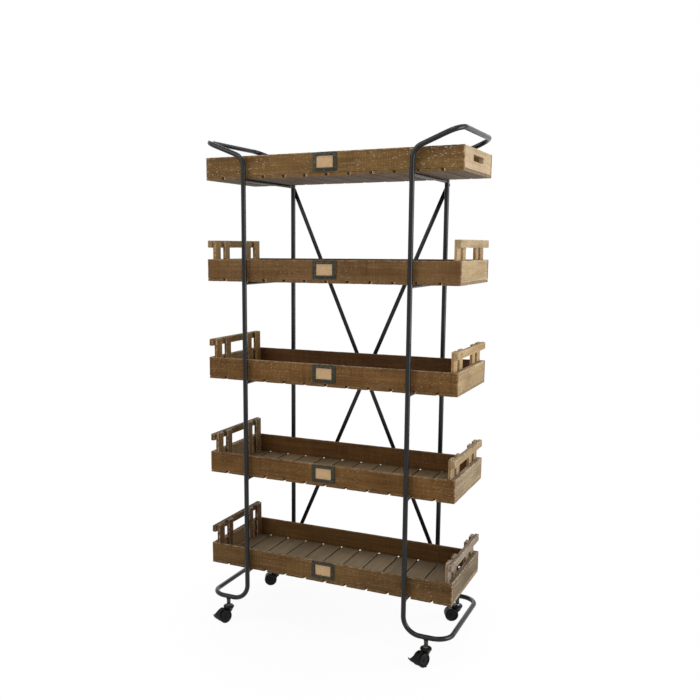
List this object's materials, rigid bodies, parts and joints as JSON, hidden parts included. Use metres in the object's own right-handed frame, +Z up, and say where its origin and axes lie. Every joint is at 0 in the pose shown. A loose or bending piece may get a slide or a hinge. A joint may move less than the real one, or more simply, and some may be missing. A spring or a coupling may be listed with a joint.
{
  "type": "rolling shelf cart",
  "caption": "Tall rolling shelf cart: slatted wooden crate shelves with raised end handles in a bent black tube frame with cross braces, push grips and braked twin-wheel casters.",
  "frame": {"origin": "on the floor under the middle of the cart's whole outline", "axes": "+Z up, +X along the shelves to the right as seen from the front, -Y towards the front, where the label holders are"},
  "size_m": [0.931, 0.4558, 1.7487],
  "materials": {
    "black_steel": "satin black powder coat",
    "front_wood": "worn brown stain",
    "floor_wood": "worn grey-brown stain",
    "end_wood": "worn light brown stain",
    "pewter": "aged pewter",
    "card": "plain tan card",
    "zinc": "zinc plated",
    "black_plastic": "black nylon",
    "wheel_plastic": "dark nylon tread"
  },
  "bodies": {
    "cart": {"left_side_frame": "black_steel", "right_side_frame": "black_steel", "front_back_brace": "black_steel", "rear_back_brace": "black_steel", "shelf_1_front_board": "front_wood", "shelf_1_back_and_floor": "floor_wood", "shelf_1_left_end": "end_wood", "shelf_1_right_end": "end_wood", "shelf_1_left_handle": "end_wood", "shelf_1_right_handle": "end_wood", "shelf_1_label_frame": "pewter", "shelf_1_label_card": "card", "shelf_2_front_board": "front_wood", "shelf_2_back_and_floor": "floor_wood", "shelf_2_left_end": "end_wood", "shelf_2_right_end": "end_wood", "shelf_2_left_handle": "end_wood", "shelf_2_right_handle": "end_wood", "shelf_2_label_frame": "pewter", "shelf_2_label_card": "card", "shelf_3_front_board": "front_wood", "shelf_3_back_and_floor": "floor_wood", "shelf_3_left_end": "end_wood", "shelf_3_right_end": "end_wood", "shelf_3_left_handle": "end_wood", "shelf_3_right_handle": "end_wood", "shelf_3_label_frame": "pewter", "shelf_3_label_card": "card", "shelf_4_front_board": "front_wood", "shelf_4_back_and_floor": "floor_wood", "shelf_4_left_end": "end_wood", "shelf_4_right_end": "end_wood", "shelf_4_left_handle": "end_wood", "shelf_4_right_handle": "end_wood", "shelf_4_label_frame": "pewter", "shelf_4_label_card": "card", "shelf_5_front_board": "front_wood", "shelf_5_back_and_floor": "floor_wood", "shelf_5_left_end": "end_wood", "shelf_5_right_end": "end_wood", "shelf_5_label_frame": "pewter", "shelf_5_label_card": "card", "caster_front_left_stem": "zinc", "caster_front_right_stem": "zinc", "caster_rear_left_stem": "zinc", "caster_rear_right_stem": "zinc"},
    "front_left_swivel": {"caster_front_left_housing": "black_plastic"},
    "front_left_wheel_1": {"caster_front_left_wheel_1": "wheel_plastic"},
    "front_left_wheel_2": {"caster_front_left_wheel_2": "wheel_plastic"},
    "front_left_brake": {"caster_front_left_brake": "black_plastic"},
    "front_right_swivel": {"caster_front_right_housing": "black_plastic"},
    "front_right_wheel_1": {"caster_front_right_wheel_1": "wheel_plastic"},
    "front_right_wheel_2": {"caster_front_right_wheel_2": "wheel_plastic"},
    "front_right_brake": {"caster_front_right_brake": "black_plastic"},
    "rear_left_swivel": {"caster_rear_left_housing": "black_plastic"},
    "rear_left_wheel_1": {"caster_rear_left_wheel_1": "wheel_plastic"},
    "rear_left_wheel_2": {"caster_rear_left_wheel_2": "wheel_plastic"},
    "rear_right_swivel": {"caster_rear_right_housing": "black_plastic"},
    "rear_right_wheel_1": {"caster_rear_right_wheel_1": "wheel_plastic"},
    "rear_right_wheel_2": {"caster_rear_right_wheel_2": "wheel_plastic"}
  },
  "joints": [
    {"name": "front_left_swivel", "type": "hinge", "parent": "cart", "child": "front_left_swivel", "pos_m": [-0.3825, -0.1695, 0.06], "axis": [0, 0, 1], "continuous": true},
    {"name": "front_left_wheel_1_roll", "type": "hinge", "parent": "front_left_swivel", "child": "front_left_wheel_1", "pos_m": [-0.38117, -0.19417, 0.025], "axis": [0.9135, -0.4067, 0], "continuous": true},
    {"name": "front_left_wheel_2_roll", "type": "hinge", "parent": "front_left_swivel", "child": "front_left_wheel_2", "pos_m": [-0.40173, -0.18502, 0.025], "axis": [0.9135, -0.4067, 0], "continuous": true},
    {"name": "front_left_brake_press", "type": "hinge", "parent": "front_left_swivel", "child": "front_left_brake", "pos_m": [-0.39918, -0.20696, 0.029], "axis": [0.9135, -0.4067, 0], "range_deg": [0, 12]},
    {"name": "front_right_swivel", "type": "hinge", "parent": "cart", "child": "front_right_swivel", "pos_m": [0.3825, -0.1695, 0.06], "axis": [0, 0, 1], "continuous": true},
    {"name": "front_right_wheel_1_roll", "type": "hinge", "parent": "front_right_swivel", "child": "front_right_wheel_1", "pos_m": [0.38383, -0.19417, 0.025], "axis": [0.9135, -0.4067, 0], "continuous": true},
    {"name": "front_right_wheel_2_roll", "type": "hinge", "parent": "front_right_swivel", "child": "front_right_wheel_2", "pos_m": [0.36327, -0.18502, 0.025], "axis": [0.9135, -0.4067, 0], "continuous": true},
    {"name": "front_right_brake_press", "type": "hinge", "parent": "front_right_swivel", "child": "front_right_brake", "pos_m": [0.36582, -0.20696, 0.029], "axis": [0.9135, -0.4067, 0], "range_deg": [0, 12]},
    {"name": "rear_left_swivel", "type": "hinge", "parent": "cart", "child": "rear_left_swivel", "pos_m": [-0.3825, 0.2095, 0.06], "axis": [0, 0, 1], "continuous": true},
    {"name": "rear_left_wheel_1_roll", "type": "hinge", "parent": "rear_left_swivel", "child": "rear_left_wheel_1", "pos_m": [-0.39734, 0.18974, 0.025], "axis": [0.4384, -0.8988, 0], "continuous": true},
    {"name": "rear_left_wheel_2_roll", "type": "hinge", "parent": "rear_left_swivel", "child": "rear_left_wheel_2", "pos_m": [-0.4072, 0.20997, 0.025], "axis": [0.4384, -0.8988, 0], "continuous": true},
    {"name": "rear_right_swivel", "type": "hinge", "parent": "cart", "child": "rear_right_swivel", "pos_m": [0.3825, 0.2095, 0.06], "axis": [0, 0, 1], "continuous": true},
    {"name": "rear_right_wheel_1_roll", "type": "hinge", "parent": "rear_right_swivel", "child": "rear_right_wheel_1", "pos_m": [0.36766, 0.18974, 0.025], "axis": [0.4384, -0.8988, 0], "continuous": true},
    {"name": "rear_right_wheel_2_roll", "type": "hinge", "parent": "rear_right_swivel", "child": "rear_right_wheel_2", "pos_m": [0.35779, 0.20997, 0.025], "axis": [0.4384, -0.8988, 0], "continuous": true}
  ]
}
